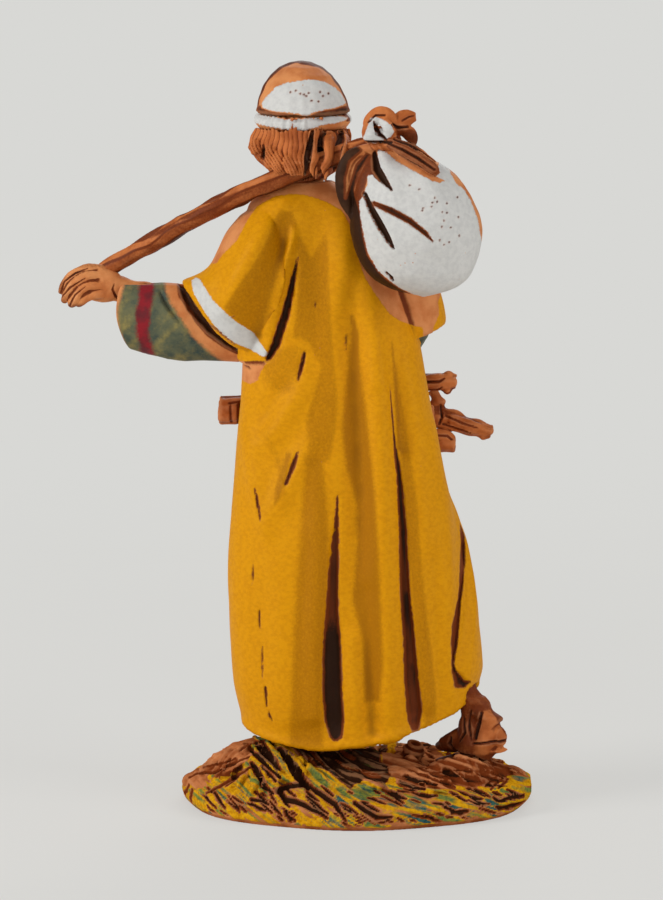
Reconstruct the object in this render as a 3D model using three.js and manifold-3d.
// A hand-painted nativity santon: a walking man in a long coat over a striped tunic. A staff lies
// across his shoulders from the left fist, a knotted bundle hangs from its far end, and the right
// arm clasps firewood in front. The figurine is cast in small mouldings that peg and glue together.
// +Z is up, +Y is the way he faces, +X is his right side, and the origin is the middle of the
// base's flat underside. All sizes are in millimetres.
import * as THREE from "three";
import { mergeVertices } from "three/addons/utils/BufferGeometryUtils.js";
import Module from "manifold-3d";

const wasm = await Module();
wasm.setup();

// Glue line between two mouldings, and the pegs that locate them.
const GAP = 0.3;
const PEG_RADIUS = 1.3;
const PEG_LENGTH = 3.2;

// Base: an oval of straw-covered ground with a mound on the left.
const BASE_WIDTH = 47.2;
const BASE_DEPTH = 39.5;
const RIM_HEIGHT = 2.8;
const GROUND_HEIGHT = 4.5;
const MOUND_RISE = 4.3;
const MOUND_RADIUS = 10;
const HEEL_RISE = 2.6;
const STRAW_RELIEF = 0.45;

// Clothed body: heights of the coat's hem and collar, and the wall of the coat.
const HEM_HEIGHT = 11.4;
const COLLAR_HEIGHT = 84;
const COAT_WALL = 1.9;
const COAT_OPENING = 9.5;
const TUNIC_HEM_HEIGHT = 12.8;
const BELT_HEIGHT = 47.5;
const BELT_BULGE = 0.5;
const FLAP_STAND = 1.5;

// Head and what it wears.
const NECK_RADIUS = 2.9;
const HEAD_WIDTH = 10.4;
const HEAD_DEPTH = 12.6;
const HEAD_HEIGHT = 14.2;
const HEAD_RISE = 7.7;
const HAIR_THICKNESS = 1.1;
const HAIR_OVER_STAFF = 3.3;
const HAIR_LENGTH = 9.6;
const CAP_THICKNESS = 0.9;
const CAP_EDGE_RISE = 1.6;
const CAP_FOREHEAD_LIFT = 1.7;
const BAND_HEIGHT = 1.7;
const BAND_THICKNESS = 1.0;

// Arms, hands and sleeves.
const SLEEVE_WALL = 1.0;
const CUFF_LENGTH = 15.6;
const CUFF_DEPTH = 10.4;
const TUNIC_SLEEVE_HEIGHT = 10.6;
const TUNIC_SLEEVE_DEPTH = 6.8;
const TUNIC_SLEEVE_RADIUS = 2.6;
const WRIST_RADIUS = 1.55;
const PALM_WIDTH = 5.2;
const PALM_THICKNESS = 2.9;
const FINGER_RADIUS = 0.72;

// Legs and shoes.
const CALF_RADIUS = 1.9;
const CALF_SEAT = 4.5;
const SHOE_WIDTH = 4.2;
const SHOE_HEIGHT = 4.4;
const SOLE_THICKNESS = 0.7;

// Staff and bundle.
const STAFF_RADIUS = 1.35;
const BUNDLE_WIDTH = 17.3;
const BUNDLE_DEPTH = 13.4;
const BUNDLE_HEIGHT = 19.8;
const BUNDLE_NECK_RADIUS = 1.6;
const KNOT_RADIUS = 1.9;
const TIE_RADIUS = 0.55;

// Firewood.
const LOG_RADIUS = 2.1;
const BRANCH_RADIUS = 1.4;
const TWIG_RADIUS = 1.0;

const UP = new THREE.Vector3(0, 0, 1);
const BACKWARDS = new THREE.Vector3(0, -1, 0);
const vec = (x, y, z) => new THREE.Vector3(x, y, z);
const beside = (point, x, y, z) => point.clone().add(vec(x, y, z));
const smooth = (from, to, x) => THREE.MathUtils.smoothstep(x, from, to);
const bell = (x, width) => Math.exp(-((x / width) ** 2));

// A place on the upper figure, given by how far below the collar it is.
const belowCollar = (x, y, drop) => vec(x, y, COLLAR_HEIGHT - drop);

// Values of a table's columns at a place in its first column, on a smooth curve through the rows.
function between(table, at) {
  const last = table.length - 1;
  const clamped = THREE.MathUtils.clamp(at, table[0][0], table[last][0]);
  let i = 0;
  while (i < last - 1 && table[i + 1][0] < clamped) i++;
  const [a, b] = [table[i], table[i + 1]];
  const [before, after] = [table[Math.max(i - 1, 0)], table[Math.min(i + 2, last)]];
  const span = b[0] - a[0];
  const u = (clamped - a[0]) / span;
  return a.slice(1).map((value, k) => {
    const c = k + 1;
    const leave = ((b[c] - before[c]) / (b[0] - before[0])) * span;
    const arrive = ((after[c] - a[c]) / (after[0] - a[0])) * span;
    return (
      (2 * u ** 3 - 3 * u ** 2 + 1) * value +
      (u ** 3 - 2 * u ** 2 + u) * leave +
      (-2 * u ** 3 + 3 * u ** 2) * b[c] +
      (u ** 3 - u ** 2) * arrive
    );
  });
}

// A closed geometry as a solid, turned face out if its warp left it inside out.
function solidOf(geometry) {
  const bare = new THREE.BufferGeometry();
  bare.setAttribute("position", geometry.getAttribute("position"));
  bare.setIndex(geometry.index);
  const merged = mergeVertices(bare, 1e-4);
  const corners = new Uint32Array(merged.index.array);
  const build = () =>
    new wasm.Manifold(
      new wasm.Mesh({
        numProp: 3,
        vertProperties: new Float32Array(merged.attributes.position.array),
        triVerts: corners,
      }),
    );
  const made = build();
  if (made.volume() >= 0) return made;
  for (let i = 0; i < corners.length; i += 3)
    [corners[i + 1], corners[i + 2]] = [corners[i + 2], corners[i + 1]];
  return build();
}

const cut = (solid, ...tools) => tools.reduce((left, tool) => left.subtract(tool), solid);
const join = (...solids) => solids.reduce((all, one) => all.add(one));

// A drum whose every vertex is moved: place(share along, angle round, rim 1 or centre 0).
// Angle 0 looks backwards and a quarter turn looks to his right.
function warpedDrum(sides, steps, place) {
  const drum = new THREE.CylinderGeometry(1, 1, 1, sides, steps);
  const spot = drum.getAttribute("position");
  for (let i = 0; i < spot.count; i++) {
    const rim = Math.hypot(spot.getX(i), spot.getZ(i)) > 0.5 ? 1 : 0;
    const angle = Math.atan2(spot.getX(i), spot.getZ(i));
    const p = place(spot.getY(i) + 0.5, angle, rim);
    spot.setXYZ(i, p.x, p.y, p.z);
  }
  return solidOf(drum);
}

// A ball with three half sizes, whose points a function may move before it goes to its centre.
function ball(centre, half, { across = 14, down = 9, shape = (p) => p } = {}) {
  const sphere = new THREE.SphereGeometry(1, across, down);
  sphere.rotateX(Math.PI / 2);
  const spot = sphere.getAttribute("position");
  for (let i = 0; i < spot.count; i++) {
    const unit = vec(spot.getX(i), spot.getY(i), spot.getZ(i));
    const p = shape(unit.clone().multiply(half), unit).add(centre);
    spot.setXYZ(i, p.x, p.y, p.z);
  }
  return solidOf(sphere);
}

// A tapering limb along a smooth path: half sizes sideways and upwards at each share of its length.
function limb(path, sizes, { sides = 10, steps = 8, up = UP, grow = 0, shape = () => 0 } = {}) {
  const curve = new THREE.CatmullRomCurve3(path);
  return warpedDrum(sides, steps, (t, angle, rim) => {
    const along = curve.getTangentAt(t);
    const side = along.clone().cross(up).normalize();
    const over = side.clone().cross(along).normalize();
    const [wide, high] = between(sizes, t);
    const extra = grow + shape(t, angle);
    const pastEnd = grow * (t === 1 ? 1 : t === 0 ? -1 : 0);
    return curve
      .getPointAt(t)
      .addScaledVector(along, pastEnd)
      .addScaledVector(side, rim * (wide + extra) * Math.sin(angle))
      .addScaledVector(over, rim * (high + extra) * Math.cos(angle));
  });
}

const evenLimb = (path, radius, options) =>
  limb(path, [[0, radius, radius], [1, radius, radius]], options);

// A straight round peg, drawn out by a little at its far end where it is a hole.
function peg([from, to], radius, deeper = 0) {
  const end = to.clone().addScaledVector(to.clone().sub(from).normalize(), deeper);
  const upright = Math.abs(end.z - from.z) > end.distanceTo(from) / 2;
  const path = [from, from.clone().lerp(end, 0.5), end];
  return evenLimb(path, radius, { sides: 12, steps: 1, up: upright ? BACKWARDS : UP });
}

const pegHole = (ends) => peg(ends, PEG_RADIUS + GAP, GAP);

// A sleeve through oval rings: share, centre x y z, long half axis in x and z, half depth in y.
function sleeve(rings, { sides = 20, steps = 8, grow = 0, from = 0, to = 1 } = {}) {
  return warpedDrum(sides, steps, (t, angle, rim) => {
    const [x, y, z, longX, longZ, depth] = between(rings, from + (to - from) * t);
    const long = Math.hypot(longX, longZ);
    const reach = (rim * (long + grow) * Math.sin(angle)) / long;
    return vec(x + longX * reach, y + rim * (depth + grow) * Math.cos(angle), z + longZ * reach);
  });
}

// Outline of the clothed body, hem to collar: share of height, left, right, back, front.
const BODY_OUTLINE = [
  [0.0, -15.6, 15.4, -10.2, 9.6],
  [0.075, -16.7, 16.2, -10.4, 9.8],
  [0.26, -17.5, 14.7, -9.9, 9.1],
  [0.45, -16.5, 11.8, -9.1, 8.2],
  [0.65, -15.4, 9.0, -8.1, 7.3],
  [0.78, -15.2, 7.0, -7.3, 6.7],
  [0.89, -15.2, 4.9, -6.5, 5.9],
  [0.95, -14.6, 2.0, -5.6, 5.1],
  [0.983, -12.9, -1.4, -4.6, 4.3],
  [1.0, -11.2, -3.4, -3.9, 3.7],
];
const BODY_SQUARENESS = 2.3;

// Soft folds down the coat's back, each a line of points [x, z, half width, height]. The height of a
// valley is minus.
const BACK_FOLDS = [
  [[-1.8, 81.1, 1.3, 0.2], [-1.7, 73.9, 1.3, 0.45], [-1.1, 68.7, 1.1, 0.3]],
  [[1.3, 70.6, 1.2, 0.3], [2.0, 62.1, 1.3, 0.7], [2.9, 42.3, 1.4, 0.9], [3.2, 31.7, 1.6, 0.8],
    [3.7, 21.1, 1.4, 0.8], [4.4, 10.9, 1.2, 0.6]],
  [[6.0, 62.5, 0.9, 0.2], [7.3, 55.3, 1.1, 0.5], [8.8, 36.8, 1.2, 0.7], [9.3, 26.2, 1.2, 0.6],
    [10.0, 15.4, 1.2, 0.5]],
  [[9.6, 51.0, 0.9, 0.3], [11.0, 41.7, 1.0, 0.5], [11.8, 21.9, 1.0, 0.5], [12.3, 14.5, 0.9, 0.4]],
  [[-7.0, 57.5, 1.1, 0.3], [-9.0, 54.8, 1.2, 0.6], [-11.4, 51.2, 1.2, 0.5], [-12.7, 49.4, 1.1, 0.2]],
  [[-6.1, 50.3, 1.1, 0.3], [-7.7, 47.3, 1.2, 0.6], [-9.8, 42.9, 1.2, 0.6], [-11.7, 38.8, 1.1, 0.3]],
  [[-14.5, 49.8, 0.9, 0.3], [-13.7, 44.6, 0.9, 0.5], [-12.2, 38.1, 0.9, 0.4], [-11.4, 32.9, 1.1, 0.2]],
  [[-9.0, 37.0, 1.6, 0.3], [-9.8, 28.9, 1.7, 0.5], [-9.9, 20.9, 1.7, 0.5], [-9.4, 13.4, 1.6, 0.4]],
  [[-5.3, 45.0, 1.0, 0.3], [-5.4, 34.4, 1.0, 0.5], [-5.8, 23.7, 1.0, 0.6], [-5.8, 13.6, 1.0, 0.5]],
  [[-1.1, 70.0, 1.0, -0.3], [-0.7, 62.1, 1.2, -0.7], [0.3, 43.7, 1.2, -0.7], [0.0, 34.4, 1.2, -0.4],
    [-0.4, 26.5, 1.2, -0.2]],
  [[5.0, 62.0, 0.8, -0.2], [5.3, 55.4, 0.8, -0.4], [6.1, 48.8, 0.8, -0.5]],
  [[9.6, 34.1, 0.8, -0.3], [10.1, 23.4, 0.9, -0.5], [11.0, 15.3, 0.8, -0.4]],
  [[-9.9, 56.8, 1.1, -0.3], [-11.9, 53.4, 1.2, -0.5], [-13.3, 51.3, 0.9, -0.3]],
];

// Folds of the coat's front hang from the waist, at these places across, and grow to the hem.
const FRONT_RIDGES_AT = [-15.5, -12.6, 5.0, 8.4, 12.0];
const FRONT_VALLEYS_AT = [-14.0, -11.0, 6.6, 10.4];
const FRONT_FOLDS = [
  ...FRONT_RIDGES_AT.map((x) => [[x, 60, 1.0, 0.1], [x + 0.4, 45, 1.3, 0.5], [x + 0.9, 10, 1.4, 0.7]]),
  ...FRONT_VALLEYS_AT.map((x) => [[x, 56, 0.7, -0.1], [x + 0.3, 40, 0.9, -0.6], [x + 0.8, 9, 1.0, -0.8]]),
];

// Narrow grooves between the folds, as points [x, z, half width, depth].
const BACK_GROOVES = [
  [[-2.8, 40.4, 0.25, 0.3], [-3.0, 37.7, 0.55, 0.7], [-3.3, 31.1, 0.8, 0.9], [-3.4, 24.4, 1.1, 1.0],
    [-3.3, 15.7, 1.3, 1.0], [-2.9, 11.0, 0.95, 0.7]],
  [[4.4, 54.1, 0.15, 0.3], [5.0, 47.8, 0.3, 0.6], [5.4, 44.2, 0.4, 0.8], [6.0, 33.0, 0.7, 1.0],
    [6.7, 23.6, 0.8, 1.0], [7.1, 18.3, 1.0, 1.0], [7.5, 11.9, 0.7, 0.6]],
  [[13.8, 38.7, 0.15, 0.3], [14.1, 30.1, 0.45, 0.9], [12.9, 25.1, 0.5, 1.0], [12.6, 20.2, 0.55, 1.0],
    [13.4, 18.1, 0.7, 0.9], [14.7, 16.9, 0.55, 0.6]],
];

const heightShare = (z) => (z - HEM_HEIGHT) / (COLLAR_HEIGHT - HEM_HEIGHT);
const bodyAt = (z) => between(BODY_OUTLINE, heightShare(z));

function bodyMiddle(z) {
  const [left, right] = bodyAt(z);
  return (left + right) / 2;
}

// The hem dips a little behind on the left and rises where the right leg strides.
function hemAt(angle) {
  const dip = 2.7 * bell(angle + 0.25, 0.9);
  const lift = 4.2 * smooth(0.4, 1.5, angle) * (1 - smooth(1.9, 2.7, angle));
  return HEM_HEIGHT - dip + lift;
}

// How far [x, z] is from the nearest place on a drawn line, and the line's width and height there.
function nearLine(line, x, z) {
  const { clamp, lerp } = THREE.MathUtils;
  const parts = line.slice(1).map((b, i) => {
    const a = line[i];
    const [dx, dz] = [b[0] - a[0], b[1] - a[1]];
    const t = clamp(((x - a[0]) * dx + (z - a[1]) * dz) / (dx * dx + dz * dz), 0, 1);
    const away = Math.hypot(x - a[0] - t * dx, z - a[1] - t * dz);
    return { away, wide: lerp(a[2], b[2], t), high: lerp(a[3], b[3], t), x: a[0] + t * dx };
  });
  return parts.reduce((best, part) => (part.away < best.away ? part : best));
}

function softRise(lines, x, z) {
  const near = lines.map((line) => nearLine(line, x, z));
  return near.reduce((sum, { away, wide, high }) => sum + high * bell(away, 1.4 * wide), 0);
}

function foldRise(x, z) {
  const grooves = BACK_GROOVES.map((line) => nearLine(line, x, z));
  const depths = grooves.map(({ away, wide, high }) => high * (1 - smooth(0.35, 1.25, away / wide)));
  return softRise(BACK_FOLDS, x, z) - Math.max(...depths);
}

// The coat's right front edge is blown back and stands proud of the skirt.
function flapRise(angle, z) {
  const edge = 1.0 + 0.55 * smooth(18, 34, z);
  const height = smooth(14, 19, z) * (1 - smooth(33, 43, z));
  const round = smooth(edge - 0.07, edge + 0.07, angle) * (1 - smooth(2.1, 2.6, angle));
  return FLAP_STAND * height * round;
}

function bodyPoint(share, z, angle, rim, grow, relief) {
  const [left, right, back, front] = between(BODY_OUTLINE, share);
  const middle = (left + right) / 2;
  const power = 2 / BODY_SQUARENESS;
  const [s, c] = [Math.sin(angle), Math.cos(angle)];
  const x = Math.sign(s) * Math.abs(s) ** power * ((right - left) / 2 + grow);
  const y = c > 0 ? Math.abs(c) ** power * (back - grow) : Math.abs(c) ** power * (front + grow);
  const reach = Math.hypot(x, y);
  const scale = (rim * (reach + relief(middle + x, c))) / reach;
  return vec(middle + x * scale, y * scale, z);
}

// Angles bunch up on the coat's back, where the folds are, and draw closer to its grooves.
const bunched = (angle) => angle - (Math.cos(angle) > 0 ? 0.2 : 0.02) * Math.sin(2 * angle);

function drawnToGrooves(angle, z) {
  if (Math.cos(angle) <= 0) return angle;
  const [left, right] = bodyAt(z);
  const [middle, half] = [(left + right) / 2, (right - left) / 2];
  const power = 2 / BODY_SQUARENESS;
  const x = middle + Math.sign(Math.sin(angle)) * Math.abs(Math.sin(angle)) ** power * half;
  const pulls = BACK_GROOVES.map((line) => {
    const off = nearLine(line, x, z).x - x;
    return 0.5 * off * bell(off, 1.8);
  });
  const share = THREE.MathUtils.clamp((x + pulls.reduce((a, b) => a + b) - middle) / half, -1, 1);
  return Math.asin(Math.sign(share) * Math.abs(share) ** (1 / power));
}

function coatForm(grow = 0, sides = 76, steps = 22) {
  return warpedDrum(sides, steps, (t, angle, rim) => {
    const level = HEM_HEIGHT + (COLLAR_HEIGHT - HEM_HEIGHT) * t;
    const turn = drawnToGrooves(bunched(angle), level);
    const hem = hemAt(turn);
    const z = hem - grow + (COLLAR_HEIGHT + 2 * grow - hem) * t;
    const folds = (x, ahead) => smooth(0.1, 0.4, ahead) * softRise(FRONT_FOLDS, x, z);
    const relief = (x, c) => flapRise(turn, z) + (c > 0 ? foldRise(x, z) : folds(x, -c));
    return bodyPoint(t, z, turn, rim, grow, relief);
  });
}

function tunicForm(grow = 0, bottom = TUNIC_HEM_HEIGHT, top = COLLAR_HEIGHT, steps = 10) {
  return warpedDrum(30, steps, (t, angle, rim) => {
    const z = bottom + (top - bottom) * t;
    const share = heightShare(z);
    const pleats = 0.35 * Math.cos(9 * angle) * (1 - THREE.MathUtils.clamp(share, 0, 1)) ** 2;
    const belt = BELT_BULGE * bell(z - BELT_HEIGHT, 2.2);
    return bodyPoint(share, z, angle, rim, grow - COAT_WALL, () => belt + pleats);
  });
}

// The room that the tunic takes inside the coat, carried on past its hem and its collar.
function tunicRoom() {
  const below = tunicForm(GAP, 0, TUNIC_HEM_HEIGHT + 1, 1);
  const above = tunicForm(GAP, COLLAR_HEIGHT - 1, COLLAR_HEIGHT + 3, 1);
  return join(tunicForm(GAP), below, above);
}

// The coat hangs open in front, wide at the hem and the collar and close at the waist.
function coatOpening() {
  const outline = new THREE.Shape();
  const [low, waist, high] = [HEM_HEIGHT - 8, BELT_HEIGHT, COLLAR_HEIGHT + 2];
  const [hemHalf, waistHalf, collarHalf] = [0.75, 0.4, 0.3].map((share) => share * COAT_OPENING);
  outline.moveTo(bodyMiddle(low) - hemHalf, low);
  outline.lineTo(bodyMiddle(low) + hemHalf, low);
  outline.quadraticCurveTo(bodyMiddle(waist) + waistHalf, waist, bodyMiddle(high) + collarHalf, high);
  outline.lineTo(bodyMiddle(high) - collarHalf, high);
  outline.quadraticCurveTo(bodyMiddle(waist) - waistHalf, waist, bodyMiddle(low) - hemHalf, low);
  const depth = 30;
  const wedge = new THREE.ExtrudeGeometry(outline, { depth, bevelEnabled: false, curveSegments: 10 });
  wedge.rotateX(Math.PI / 2);
  wedge.translate(0, depth + 2, 0);
  return solidOf(wedge);
}

// Ground: a plateau that rolls off at the rim, a mound on the left and a rise under the right heel.
const MOUND = { x: -11, y: -1 };
const RISE = { x: 15.6, y: -2.4, radius: 3.4 };

function groundAt(x, y) {
  const reach = Math.hypot(x / (BASE_WIDTH / 2), y / (BASE_DEPTH / 2));
  const plateau = RIM_HEIGHT + (GROUND_HEIGHT - RIM_HEIGHT) * (1 - reach ** 7);
  const mound = MOUND_RISE * bell(Math.hypot(x - MOUND.x, 1.15 * (y - MOUND.y)), MOUND_RADIUS);
  const rise = HEEL_RISE * bell(Math.hypot(x - RISE.x, y - RISE.y), RISE.radius);
  const furrow = 0.22 * Math.sin(1.9 * x + 1.1 * y) * Math.sin(0.7 * y - 0.4 * x);
  return plateau + (mound + rise + furrow) * Math.max(0, 1 - reach ** 6);
}

// The straw's tufts: ridges that fan out from three places, each over its own stretch of the ground.
const FANS = [
  { x: -11, y: 1, at: -9, width: 9, tufts: 27 },
  { x: -14, y: 16, at: 4, width: 9, tufts: 37 },
  { x: 15, y: 3, at: 16, width: 6, tufts: 19 },
];

function strawAt(x, y) {
  let [rise, total] = [0, 0.01];
  for (const fan of FANS) {
    const round = Math.atan2(y - fan.y, x - fan.x);
    const away = Math.hypot(x - fan.x, y - fan.y);
    const share = bell(x - fan.at, fan.width);
    rise += share * Math.sin(fan.tufts * round + 0.9 * Math.sin(0.55 * away)) * smooth(1, 6, away);
    total += share;
  }
  const reach = Math.hypot(x / (BASE_WIDTH / 2), y / (BASE_DEPTH / 2));
  return groundAt(x, y) + (STRAW_RELIEF * (rise / total) - 0.15) * Math.max(0, 1 - reach ** 8);
}

function groundForm() {
  const rings = [0.985, 0.93, 0.86, 0.79, 0.72, 0.65, 0.58, 0.5, 0.41, 0.31, 0.2, 0.1];
  const wall = [[0, 0], [0.97, 0], [1, 0.25], [1, 0.9]];
  const surface = 2;
  const profile = [...wall, ...rings.map((r) => [r, surface]), [0, surface]];
  const disc = new THREE.LatheGeometry(profile.map(([r, z]) => new THREE.Vector2(r, z)), 84);
  disc.rotateX(Math.PI / 2);
  const spot = disc.getAttribute("position");
  for (let i = 0; i < spot.count; i++) {
    const ripple = 1 + 0.012 * Math.sin(7 * Math.atan2(spot.getY(i), spot.getX(i)));
    const x = (spot.getX(i) * ripple * BASE_WIDTH) / 2;
    const y = (spot.getY(i) * ripple * BASE_DEPTH) / 2;
    const level = spot.getZ(i);
    spot.setXYZ(i, x, y, level === surface ? strawAt(x, y) : level * RIM_HEIGHT);
  }
  return solidOf(disc);
}

// Legs. Each foot's toe is planted on the ground, and the right heel is lifted in stride.
// The calf is its own upper peg and stands in a socket in the clothed body.
function leg({ toeAt, heelAt, lift, kneeAt, pegShare }) {
  const stand = SHOE_HEIGHT * 0.42 + SOLE_THICKNESS / 2;
  const toe = vec(...toeAt, groundAt(...toeAt) + stand);
  const heel = vec(...heelAt, toe.z + lift);
  const knee = vec(...kneeAt, TUNIC_HEM_HEIGHT + CALF_SEAT);
  const instep = heel.clone().lerp(toe, pegShare);
  const pegTop = beside(instep, 0, 0, -SHOE_HEIGHT / 4);
  const pegEnds = [pegTop, beside(pegTop, 0, 0, -PEG_LENGTH)];
  return { heel, toe, knee, pegEnds };
}

const RIGHT_LEG = leg({
  toeAt: [11.2, 2.6],
  heelAt: [19.4, -5.0],
  lift: 2.8,
  kneeAt: [12.6, -2.2],
  pegShare: 0.45,
});
const LEFT_LEG = leg({
  toeAt: [-7.6, 14.4],
  heelAt: [-5.8, 3.0],
  lift: 3.0,
  kneeAt: [-6.4, 2.4],
  pegShare: 0.3,
});

function shoeForm({ heel, toe }, grow = 0) {
  const half = SHOE_WIDTH / 2;
  const tall = SHOE_HEIGHT / 2;
  const sizes = [
    [0, half * 0.5, tall * 0.55],
    [0.08, half * 0.78, tall * 0.95],
    [0.3, half * 0.85, tall],
    [0.65, half, tall * 0.72],
    [0.92, half * 0.85, tall * 0.45],
    [1, half * 0.4, tall * 0.25],
  ];
  const instep = beside(heel.clone().lerp(toe, 0.4), 0, 0, 0.5);
  return limb([heel, instep, toe], sizes, { sides: 12, steps: 7, grow });
}

function soleForm({ heel, toe }, grow = 0) {
  const half = SHOE_WIDTH / 2;
  const thick = SOLE_THICKNESS / 2;
  const widths = [[0, 0.6], [0.12, 0.85], [0.7, 1.08], [1, 0.5]];
  const sizes = widths.map(([t, wide]) => [t, half * wide, thick]);
  const path = [heel, heel.clone().lerp(toe, 0.5), toe].map((p) => beside(p, 0, 0, -SHOE_HEIGHT * 0.42));
  return limb(path, sizes, { sides: 10, steps: 5, grow });
}

function calfForm({ heel, knee }, grow = 0) {
  const ankle = beside(heel, -1.1, 0.9, 1.2);
  const r = CALF_RADIUS;
  const sizes = [[0, r * 0.85, r * 0.85], [0.5, r * 0.9, r * 0.95], [1, r * 1.1, r * 1.15]];
  const path = [ankle, ankle.clone().lerp(knee, 0.5), knee];
  return limb(path, sizes, { sides: 12, steps: 4, up: BACKWARDS, grow });
}

const legForm = (side) => join(shoeForm(side), soleForm(side), calfForm(side), peg(side.pegEnds, PEG_RADIUS));
const footSeat = (side) => join(shoeForm(side, GAP), soleForm(side, GAP), pegHole(side.pegEnds));

// Head: a face with brow, nose, lips and chin, on a neck with a peg below.
const NECK = vec(bodyMiddle(COLLAR_HEIGHT), 0.2, COLLAR_HEIGHT);
const NECK_PEG = [beside(NECK, 0, 0, 1), beside(NECK, 0, 0, -PEG_LENGTH)];
const HEAD = beside(NECK, 0, 0.7, HEAD_RISE);
const HEAD_HALF = vec(HEAD_WIDTH / 2, HEAD_DEPTH / 2, HEAD_HEIGHT / 2);

function faceShape(p, unit) {
  if (unit.y < 0.2) return p;
  const [across, up] = [unit.x, unit.z];
  const nose = 1.5 * bell(across, 0.17) * (1 - smooth(-0.1, 0.38, up)) * smooth(-0.34, -0.12, up);
  const brow = 0.35 * bell(up - 0.34, 0.14) * bell(across, 0.7);
  const sockets = 0.55 * bell(up - 0.12, 0.14) * (bell(across - 0.34, 0.17) + bell(across + 0.34, 0.17));
  const lips = 0.3 * bell(up + 0.5, 0.09) * bell(across, 0.22);
  const chin = 0.7 * bell(up + 0.84, 0.2) * bell(across, 0.35);
  p.y += nose + brow - sockets + lips + chin;
  return p;
}

function skullForm(grow = 0) {
  const half = HEAD_HALF.clone().addScalar(grow);
  return ball(HEAD, half, { across: 24, down: 16, shape: faceShape });
}

function neckForm(grow = 0) {
  const foot = beside(NECK, 0, 0, GAP);
  const top = beside(HEAD, 0, -0.8, -HEAD_HEIGHT / 7);
  const path = [foot, foot.clone().lerp(top, 0.5), top];
  return evenLimb(path, NECK_RADIUS, { sides: 16, steps: 3, up: BACKWARDS, grow });
}

// Hair hangs from under the cap to the collar and falls over the staff behind the neck. One lock
// flares out to the left.
function hairForm() {
  const top = HEAD.z + CAP_EDGE_RISE - 0.1;
  const shares = [[0, 0.3, 0.36], [0.12, 0.6, 0.68], [0.35, 0.87, 0.92], [0.6, 1, 1], [1, 0.88, 0.93]];
  return warpedDrum(28, 6, (t, angle, rim) => {
    const [wide, deep] = between(shares, t);
    const lock = 1.3 * bell(t - 0.5, 0.22) * bell(angle + 1.5, 0.5);
    const relief = lock + 0.16 * Math.sin(17 * angle);
    const fall = HAIR_OVER_STAFF * bell(t - 0.24, 0.2) * bell(angle, 0.9);
    const x = wide * (HEAD_HALF.x + HAIR_THICKNESS) + relief;
    const y = deep * (HEAD_HALF.y + HAIR_THICKNESS) + relief + fall;
    return vec(
      HEAD.x + rim * x * Math.sin(angle),
      HEAD.y - 0.6 - rim * y * Math.cos(angle),
      top - HAIR_LENGTH * (1 - t),
    );
  });
}

function faceWindow() {
  const [wide, deep, tall] = [HEAD_WIDTH * 1.8, HEAD_DEPTH, HEAD_HEIGHT * 1.6];
  const box = new THREE.BoxGeometry(wide, deep, tall);
  box.translate(HEAD.x, HEAD.y + HEAD_DEPTH * 0.1 + deep / 2, HEAD.z - HEAD_HEIGHT * 0.3);
  return solidOf(box);
}

// The cap's edge runs level round the back and rises over the forehead.
function capEdge(angle) {
  const forward = -Math.cos(angle);
  const level = HEAD.z + CAP_EDGE_RISE + 0.4 * forward;
  return level + (CAP_FOREHEAD_LIFT - 0.4) * smooth(0.1, 1, forward);
}

function capForm(grow = 0) {
  const half = HEAD_HALF.clone().addScalar(CAP_THICKNESS + GAP + grow);
  return warpedDrum(22, 6, (t, angle, rim) => {
    const rise = Math.sin((t * Math.PI) / 2);
    const edge = capEdge(angle) - grow;
    const z = edge + (HEAD.z + half.z - edge) * rise;
    const reach = rim * Math.sqrt(Math.max(0.002, 1 - ((z - HEAD.z) / half.z) ** 2));
    const slump = 0.35 * rise;
    const x = HEAD.x - slump + reach * half.x * Math.sin(angle);
    return vec(x, HEAD.y - reach * half.y * Math.cos(angle), z);
  });
}

function bandForm(grow = 0) {
  return warpedDrum(26, 3, (t, angle, rim) => {
    const roll = BAND_THICKNESS * Math.sin(Math.PI * (0.12 + 0.76 * t));
    const out = roll + GAP + grow + 0.08 * Math.cos(15 * angle);
    const height = BAND_HEIGHT * (1 + 0.3 * bell(angle, 1.2));
    const z = capEdge(angle) - GAP - height * (1 - t) + (2 * t - 1) * grow;
    const x = HEAD.x + rim * Math.sin(angle) * (HEAD_HALF.x + out);
    return vec(x, HEAD.y - rim * Math.cos(angle) * (HEAD_HALF.y + out), z);
  });
}

// Staff: a slightly bowed branch from the left fist, behind the neck, to the bundle's knot.
const FIST = belowCollar(-36.0, 3.9, 13.7);
const KNOT = belowCollar(3.3, -9.8, -5.6);

function staffForm(grow = 0) {
  const path = [
    beside(FIST, -0.6, 0.2, -0.2),
    beside(FIST.clone().lerp(KNOT, 0.34), 0, 0, 1.7),
    beside(FIST.clone().lerp(KNOT, 0.6), 0, 0, 1.9),
    beside(KNOT, 1.9, -0.5, 0.8),
  ];
  const bark = (t, angle) => (grow ? 0 : 0.1 * Math.sin(3 * angle + 9 * t) + 0.08 * Math.sin(31 * t));
  const room = grow && 0.2;
  const r = STAFF_RADIUS + room;
  const sizes = [[0, r * 0.85, r * 0.85], [0.5, r, r], [1, r * 0.8, r * 0.8]];
  return limb(path, sizes, { sides: 12, steps: 18, grow, shape: bark });
}

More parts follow.
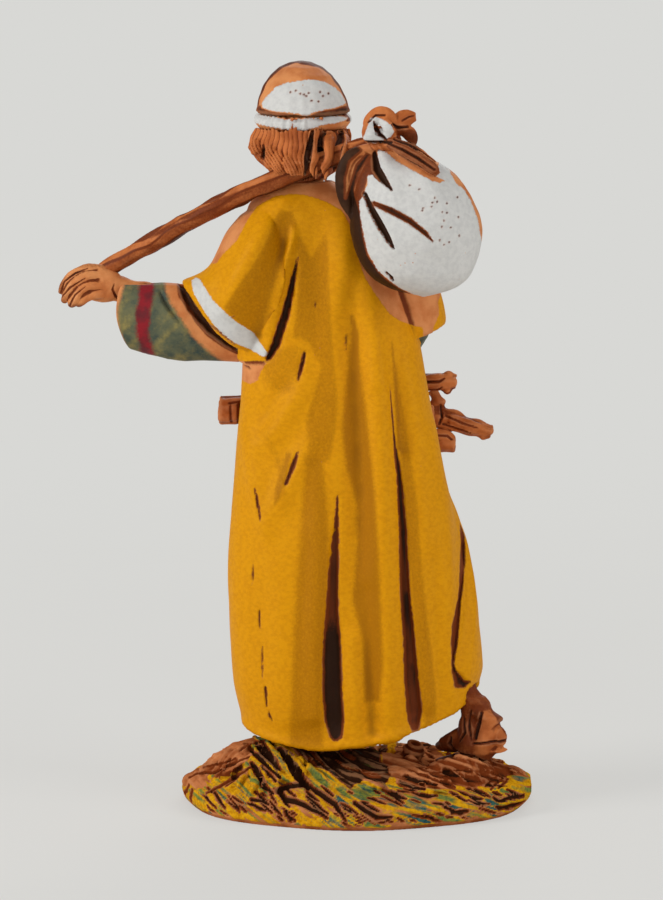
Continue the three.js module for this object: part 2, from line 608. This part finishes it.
// Left arm: a bell-shaped coat sleeve and the striped tunic sleeve that comes out of it.
const CUFF_X = 0.76 * (CUFF_LENGTH / 2);
const CUFF_Z = -0.65 * (CUFF_LENGTH / 2);
const LEFT_SLEEVE = [
  [0, -10.9, -0.4, COLLAR_HEIGHT - 3.7, 3.4, -0.6, 4.2],
  [0.3, -12.2, -0.9, COLLAR_HEIGHT - 8.6, 5.2, -1.9, 6.0],
  [0.62, -14.2, -1.2, COLLAR_HEIGHT - 14.0, 5.7, -2.6, 6.6],
  [1, -17.7, -0.6, COLLAR_HEIGHT - 18.4, CUFF_X, CUFF_Z, CUFF_DEPTH / 2],
  [1.2, -20.3, -0.2, COLLAR_HEIGHT - 21.3, CUFF_X, CUFF_Z, CUFF_DEPTH / 2],
];
const MOUTH = belowCollar(-31.2, 2.3, 18.3);
const [TALL, DEEP] = [TUNIC_SLEEVE_HEIGHT / 2, TUNIC_SLEEVE_DEPTH / 2];
const LEFT_TUNIC_SLEEVE = [
  [0, -12.0, 0, MOUTH.z - 0.7, 0, TALL, DEEP],
  [0.35, -19.0, 0.3, MOUTH.z - 0.5, 0, TALL, DEEP],
  [0.7, -25.4, 1.2, MOUTH.z - 0.6, 0, TALL * 0.97, DEEP],
  [1, MOUTH.x, MOUTH.y, MOUTH.z, -0.4, TALL * 0.86, DEEP * 0.94],
  [1.15, MOUTH.x - 2.6, MOUTH.y + 0.4, MOUTH.z, -0.4, TALL * 0.86, DEEP * 0.94],
];
const MOUTH_START = 0.83;
const CUFF_START = 0.5;
const LEFT_ARM_PEG = [beside(MOUTH, 14.7, -2.3, 0.3), beside(MOUTH, 14.7 + 2 * PEG_LENGTH, -2.3, 0.3)];

const leftTunicSleeve = (grow = 0) => sleeve(LEFT_TUNIC_SLEEVE, { sides: 20, steps: 7, grow });
const leftTunicMouth = () =>
  sleeve(LEFT_TUNIC_SLEEVE, { sides: 16, steps: 3, grow: -SLEEVE_WALL, from: MOUTH_START, to: 1.15 });
const leftCoatSleeve = () => sleeve(LEFT_SLEEVE, { sides: 26, steps: 9 });
const leftCoatCuff = () =>
  sleeve(LEFT_SLEEVE, { sides: 20, steps: 5, grow: -SLEEVE_WALL, from: CUFF_START, to: 1.2 });

// A hand: a rounded palm, its wrist and four fingers that curl from knuckle to tip.
function handForm(palm, palmHalf, wrist, fingers) {
  const curled = fingers.map((path) => evenLimb(path, FINGER_RADIUS, { sides: 6, steps: 4 }));
  return join(ball(palm, palmHalf, { across: 12, down: 8 }), wrist, ...curled);
}

function leftWrist(grow = 0) {
  const start = beside(MOUTH, 4.2, -0.4, 2.6);
  const middle = beside(FIST.clone().lerp(start, 0.5), 0, -0.4, -0.6);
  const path = [beside(FIST, 0.8, -0.9, -0.9), middle, start];
  return evenLimb(path, WRIST_RADIUS, { sides: 10, steps: 4, grow });
}

function leftHand() {
  const fingers = [0, 1, 2, 3].map((i) => {
    const knuckle = beside(FIST, -0.8 + 0.15 * i, -0.1 - 0.75 * i, 1.5 - 1.05 * i);
    const bend = beside(knuckle, -3.2 + 0.2 * i, -0.1, -0.9);
    return [knuckle, bend, beside(knuckle, -3.3 + 0.35 * i, 1.5, -2.7 + 0.3 * i)];
  });
  const palmHalf = vec(3.0, 1.7, 2.3);
  return handForm(beside(FIST, 0.2, -0.9, -0.2), palmHalf, leftWrist(), fingers);
}

// Firewood: crooked sticks side by side. The thick ones lie against the coat, the thin ones over
// them, and each is trimmed clear of the ones laid before it.
const WOOD_HEIGHT = COLLAR_HEIGHT - 32;
const WOOD_BACK = bodyAt(WOOD_HEIGHT)[3] + GAP;
const INNER_LAYER = WOOD_BACK + LOG_RADIUS;
const OUTER_LAYER = WOOD_BACK + 2 * LOG_RADIUS + BRANCH_RADIUS * 0.4;
const WOOD_FRONT = OUTER_LAYER + BRANCH_RADIUS + TWIG_RADIUS * 0.2;
const STICKS = [
  { name: "firewood_log", left: [-18.8, 0.2], right: [12.6, -0.9], y: INNER_LAYER, bow: 0.4 },
  { name: "firewood_knotty", left: [-9.0, 3.5], right: [13.6, 4.0], y: INNER_LAYER, bow: 0.3 },
  { name: "firewood_branch", left: [-11.5, 2.2], right: [18.6, -3.3], y: OUTER_LAYER, bow: 1.0 },
  { name: "firewood_lower", left: [-15.0, -2.8], right: [13.4, -4.8], y: OUTER_LAYER - 1, bow: -0.3 },
  { name: "firewood_twig", left: [-12.6, -0.7], right: [8.8, -1.7], y: OUTER_LAYER + 1, bow: 0.3 },
];
const STICK_RADII = { firewood_log: LOG_RADIUS, firewood_twig: TWIG_RADIUS };

function stickForm({ name, left, right, y, bow }, grow = 0) {
  const r = STICK_RADII[name] ?? BRANCH_RADIUS;
  const [from, to] = [left, right].map(([x, rise]) => vec(x, y, WOOD_HEIGHT + rise));
  const third = beside(from.clone().lerp(to, 0.36), 0, 0.2 * bow, bow);
  const late = beside(from.clone().lerp(to, 0.78), 0, -0.3 * bow, 0.7 * bow);
  const sizes = [[0, r, r], [0.3, r * 0.9, r * 0.95], [0.55, r * 1.05, r], [0.8, r * 0.85, r * 0.85],
    [0.93, r, r], [1, r * 0.75, r * 0.75]];
  const bark = (t, angle) => (grow ? 0.09 : 0.09 * Math.sin(4 * angle + 14 * t));
  return limb([from, third, late, to], sizes, { sides: 9, steps: 9, grow, shape: bark });
}

// Right arm: hangs from the shoulder, and its forearm reaches over the firewood.
const RIGHT_SLEEVE = [
  [0, -0.6, -0.2, COLLAR_HEIGHT - 4.4, 3.0, 0.8, 3.4],
  [0.35, 4.0, 0.3, COLLAR_HEIGHT - 9.8, 3.9, 1.5, 4.4],
  [0.7, 7.4, 1.3, COLLAR_HEIGHT - 15.4, 4.2, 1.4, 5.0],
  [1, 9.1, 2.3, COLLAR_HEIGHT - 20.6, 4.3, 1.5, 5.0],
  [1.2, 9.8, 2.9, COLLAR_HEIGHT - 24.2, 4.3, 1.5, 5.0],
];
const RIGHT_CUFF_START = 0.72;
const RIGHT_ELBOW = belowCollar(8.3, 2.2, 16.4);
const RIGHT_WRIST = vec(6.2, WOOD_FRONT - 2.2, WOOD_HEIGHT + 9.6);
const RIGHT_PALM = vec(6.6, WOOD_FRONT + PALM_THICKNESS / 2 + GAP, WOOD_HEIGHT + 5.2);
const RIGHT_ARM_PEG = [belowCollar(9.2, 1.6, 15), belowCollar(9.2 - 2 * PEG_LENGTH, 1.0, 15)];

const rightCoatSleeve = (grow = 0) => sleeve(RIGHT_SLEEVE, { sides: 24, steps: 8, grow });
const rightCoatCuff = () =>
  sleeve(RIGHT_SLEEVE, { sides: 18, steps: 4, grow: -SLEEVE_WALL, from: RIGHT_CUFF_START, to: 1.2 });

function rightTunicSleeve(grow = 0) {
  const r = TUNIC_SLEEVE_RADIUS;
  const sizes = [[0, r * 0.9, r * 0.95], [0.4, r * 0.96, r * 1.15], [1, r, r * 1.2]];
  const middle = beside(RIGHT_ELBOW.clone().lerp(RIGHT_WRIST, 0.45), 0.2, 0, -0.5);
  return limb([RIGHT_ELBOW, middle, RIGHT_WRIST], sizes, { sides: 16, steps: 6, grow });
}

function rightWrist(grow = 0) {
  const start = RIGHT_ELBOW.clone().lerp(RIGHT_WRIST, 0.76);
  const path = [start, beside(RIGHT_WRIST, 0, 1.2, -0.5), RIGHT_PALM];
  return evenLimb(path, WRIST_RADIUS, { sides: 10, steps: 4, grow });
}

function rightHand() {
  const fingers = [0, 1, 2, 3].map((i) => {
    const knuckle = beside(RIGHT_PALM, -1.9 + 1.25 * i, 0.2, -1.4);
    const bend = beside(knuckle, 0.1, 0.1, -2.9 + 0.2 * Math.abs(i - 1));
    return [knuckle, bend, beside(bend, 0.1, -0.7, -1.5)];
  });
  const palmHalf = vec(PALM_WIDTH / 2, PALM_THICKNESS / 2, 2.4);
  return handForm(RIGHT_PALM, palmHalf, rightWrist(), fingers);
}

// Bundle: a round cloth bag hung askew from its gathered neck.
const NECK_SHARE = BUNDLE_NECK_RADIUS / (BUNDLE_WIDTH / 2);
const BAG_RINGS = [
  [0.0, 0.6, 0.007], [0.06, 0.58, 0.5], [0.18, 0.54, 0.82], [0.44, 0.5, 1.0], [0.65, 0.45, 0.93],
  [0.8, 0.37, 0.8], [0.89, 0.27, 0.6], [0.955, 0.14, 0.36], [1.0, 0.03, NECK_SHARE],
];
const BAG_NECK = beside(KNOT, 0, -0.8, -0.6);

function bagForm(grow = 0) {
  return warpedDrum(30, 12, (t, angle, rim) => {
    const [shift, size] = between(BAG_RINGS, t);
    const gathers = 0.5 * smooth(0.5, 0.85, t) * (1 - smooth(0.93, 1, t)) * Math.cos(8 * angle);
    const againstBack = Math.cos(angle) < 0 ? 0.9 : 1;
    const wide = rim * (size * (BUNDLE_WIDTH / 2) + grow + gathers);
    const deep = rim * againstBack * (size * (BUNDLE_DEPTH / 2) + grow + gathers);
    const x = BAG_NECK.x + (shift * BUNDLE_WIDTH) / 2 + wide * Math.sin(angle);
    const z = BAG_NECK.z - BUNDLE_HEIGHT - grow + (BUNDLE_HEIGHT + grow) * t;
    return vec(x, BAG_NECK.y - deep * Math.cos(angle), z);
  });
}

function tieForm(grow = 0) {
  const ring = new THREE.TorusGeometry(BUNDLE_NECK_RADIUS + TIE_RADIUS * 0.3, TIE_RADIUS + grow, 8, 22);
  ring.translate(BAG_NECK.x, BAG_NECK.y, BAG_NECK.z + 0.1);
  return solidOf(ring);
}

// The knot: a core with the cloth's four corners standing out of it and one loose end over the bag.
function clothCorner(away, wide, thick) {
  const tip = beside(KNOT, ...away);
  const bend = beside(KNOT.clone().lerp(tip, 0.55), 0, -0.3, 0.2);
  const sizes = [[0, 0.7, 0.7], [0.45, wide * 0.75, thick], [0.8, wide, thick], [1, wide * 0.6, thick * 0.5]];
  return limb([KNOT, bend, tip], sizes, { sides: 10, steps: 5, up: BACKWARDS });
}

function looseEnd() {
  const path = [beside(KNOT, 0.8, -1.6, 0.1), beside(KNOT, 3.9, -4.0, -1.0), beside(KNOT, 6.9, -5.4, -3.9)];
  return limb(path, [[0, 0.9, 0.7], [0.5, 1.3, 0.7], [1, 0.9, 0.45]], { sides: 8, steps: 6 });
}

function knotForm() {
  const core = ball(beside(KNOT, 0, -0.5, 1.0), vec(KNOT_RADIUS, KNOT_RADIUS, 1.5));
  const corners = [
    clothCorner([-0.9, -0.7, 4.2], 2.1, 0.9),
    clothCorner([4.6, -0.2, 3.4], 1.25, 0.8),
    clothCorner([4.3, 0.4, 0.2], 1.4, 0.7),
    clothCorner([-2.7, 0.4, 2.6], 1.1, 0.7),
  ];
  return join(core, ...corners, looseEnd());
}

// The bundle keeps clear of the back of the hair.
function hairRoom() {
  const half = beside(HEAD_HALF, HAIR_THICKNESS + 0.6, HAIR_THICKNESS + 0.8, 0.9);
  return ball(beside(HEAD, 0, -0.6, -2.5), half);
}

// Materials: bare tan casting, opaque sprayed colours, and the brown wash on timber and hair.
const material = (color, roughness) => new THREE.MeshStandardMaterial({ color, roughness, metalness: 0 });
const BARE = material(0xc97f4c, 0.6);
const OCHRE = material(0xd9a012, 0.62);
const WHITE = material(0xdcdbd6, 0.7);
const STRIPED = material(0x6f7a58, 0.62);
const WOOD = material(0xa85a28, 0.6);
const HAIR = material(0xb56b3a, 0.6);
const GRASS = material(0xb08a2a, 0.6);

const santon = new THREE.Group();

// Adds a solid as one named mesh. Of a cut solid only the largest piece stays, without slivers.
function add(name, solid, finish) {
  const pieces = solid.decompose();
  const main = pieces.reduce((most, one) => (one.volume() > most.volume() ? one : most));
  const { vertProperties, triVerts } = main.getMesh();
  const geometry = new THREE.BufferGeometry();
  geometry.setAttribute("position", new THREE.BufferAttribute(new Float32Array(vertProperties), 3));
  geometry.setIndex(new THREE.BufferAttribute(triVerts, 1));
  const mesh = new THREE.Mesh(geometry, finish);
  mesh.name = name;
  santon.add(mesh);
}

// Room that a piece leaves for its neighbours.
const coatRoom = coatForm(GAP);
const staffRoom = staffForm(GAP);
const calfRoom = [calfForm(RIGHT_LEG, GAP), calfForm(LEFT_LEG, GAP)];

const strawGround = cut(groundForm(), coatForm(GAP, 54, 14));
add("base", cut(strawGround, footSeat(RIGHT_LEG), footSeat(LEFT_LEG), ...calfRoom), GRASS);
add("right_leg", legForm(RIGHT_LEG), BARE);
add("left_leg", legForm(LEFT_LEG), BARE);

const bodyPegHoles = [pegHole(NECK_PEG), pegHole(LEFT_ARM_PEG), pegHole(RIGHT_ARM_PEG)];
add("tunic", cut(tunicForm(), ...calfRoom, ...bodyPegHoles), STRIPED);
add("coat", cut(coatForm(), tunicRoom(), coatOpening(), ...calfRoom, ...bodyPegHoles), OCHRE);

const leftSleeveTube = cut(leftTunicSleeve(), coatRoom, leftTunicMouth(), leftWrist(GAP));
add("left_tunic_sleeve", join(leftSleeveTube, peg(LEFT_ARM_PEG, PEG_RADIUS)), STRIPED);
const leftSleeveShell = cut(leftCoatSleeve(), coatRoom, leftCoatCuff(), leftTunicSleeve(GAP));
add("left_coat_sleeve", cut(leftSleeveShell, staffRoom), OCHRE);
add("left_hand", cut(leftHand(), staffRoom), BARE);

const rightSleeveTube = cut(rightTunicSleeve(), coatRoom, rightWrist(GAP));
add("right_tunic_sleeve", join(rightSleeveTube, peg(RIGHT_ARM_PEG, PEG_RADIUS)), STRIPED);
const rightSleeveShell = cut(rightCoatSleeve(), coatRoom, rightCoatCuff(), rightTunicSleeve(GAP));
add("right_coat_sleeve", cut(rightSleeveShell, pegHole(RIGHT_ARM_PEG)), OCHRE);
add("right_hand", rightHand(), BARE);

const laid = [coatRoom, rightTunicSleeve(GAP), rightWrist(GAP), rightHand()];
for (const stick of STICKS) {
  add(stick.name, cut(stickForm(stick), ...laid), WOOD);
  laid.push(stickForm(stick, GAP));
}

add("head", join(skullForm(), neckForm(), peg(NECK_PEG, PEG_RADIUS)), BARE);
const hairSolid = cut(hairForm(), skullForm(GAP), neckForm(GAP), bandForm(GAP), capForm(GAP));
add("hair", cut(hairSolid, faceWindow(), staffRoom, coatRoom), HAIR);
add("headband", cut(bandForm(), skullForm(GAP)), WHITE);
add("cap", cut(capForm(), skullForm(GAP)), WHITE);

add("staff", staffForm(), WOOD);
add("bundle_bag", cut(bagForm(), coatRoom, staffRoom, tieForm(GAP), rightCoatSleeve(GAP), hairRoom()), WHITE);
add("bundle_tie", cut(tieForm(), staffRoom), BARE);
add("bundle_knot", cut(knotForm(), staffRoom, tieForm(GAP), bagForm(GAP), hairRoom()), BARE);

export default santon;
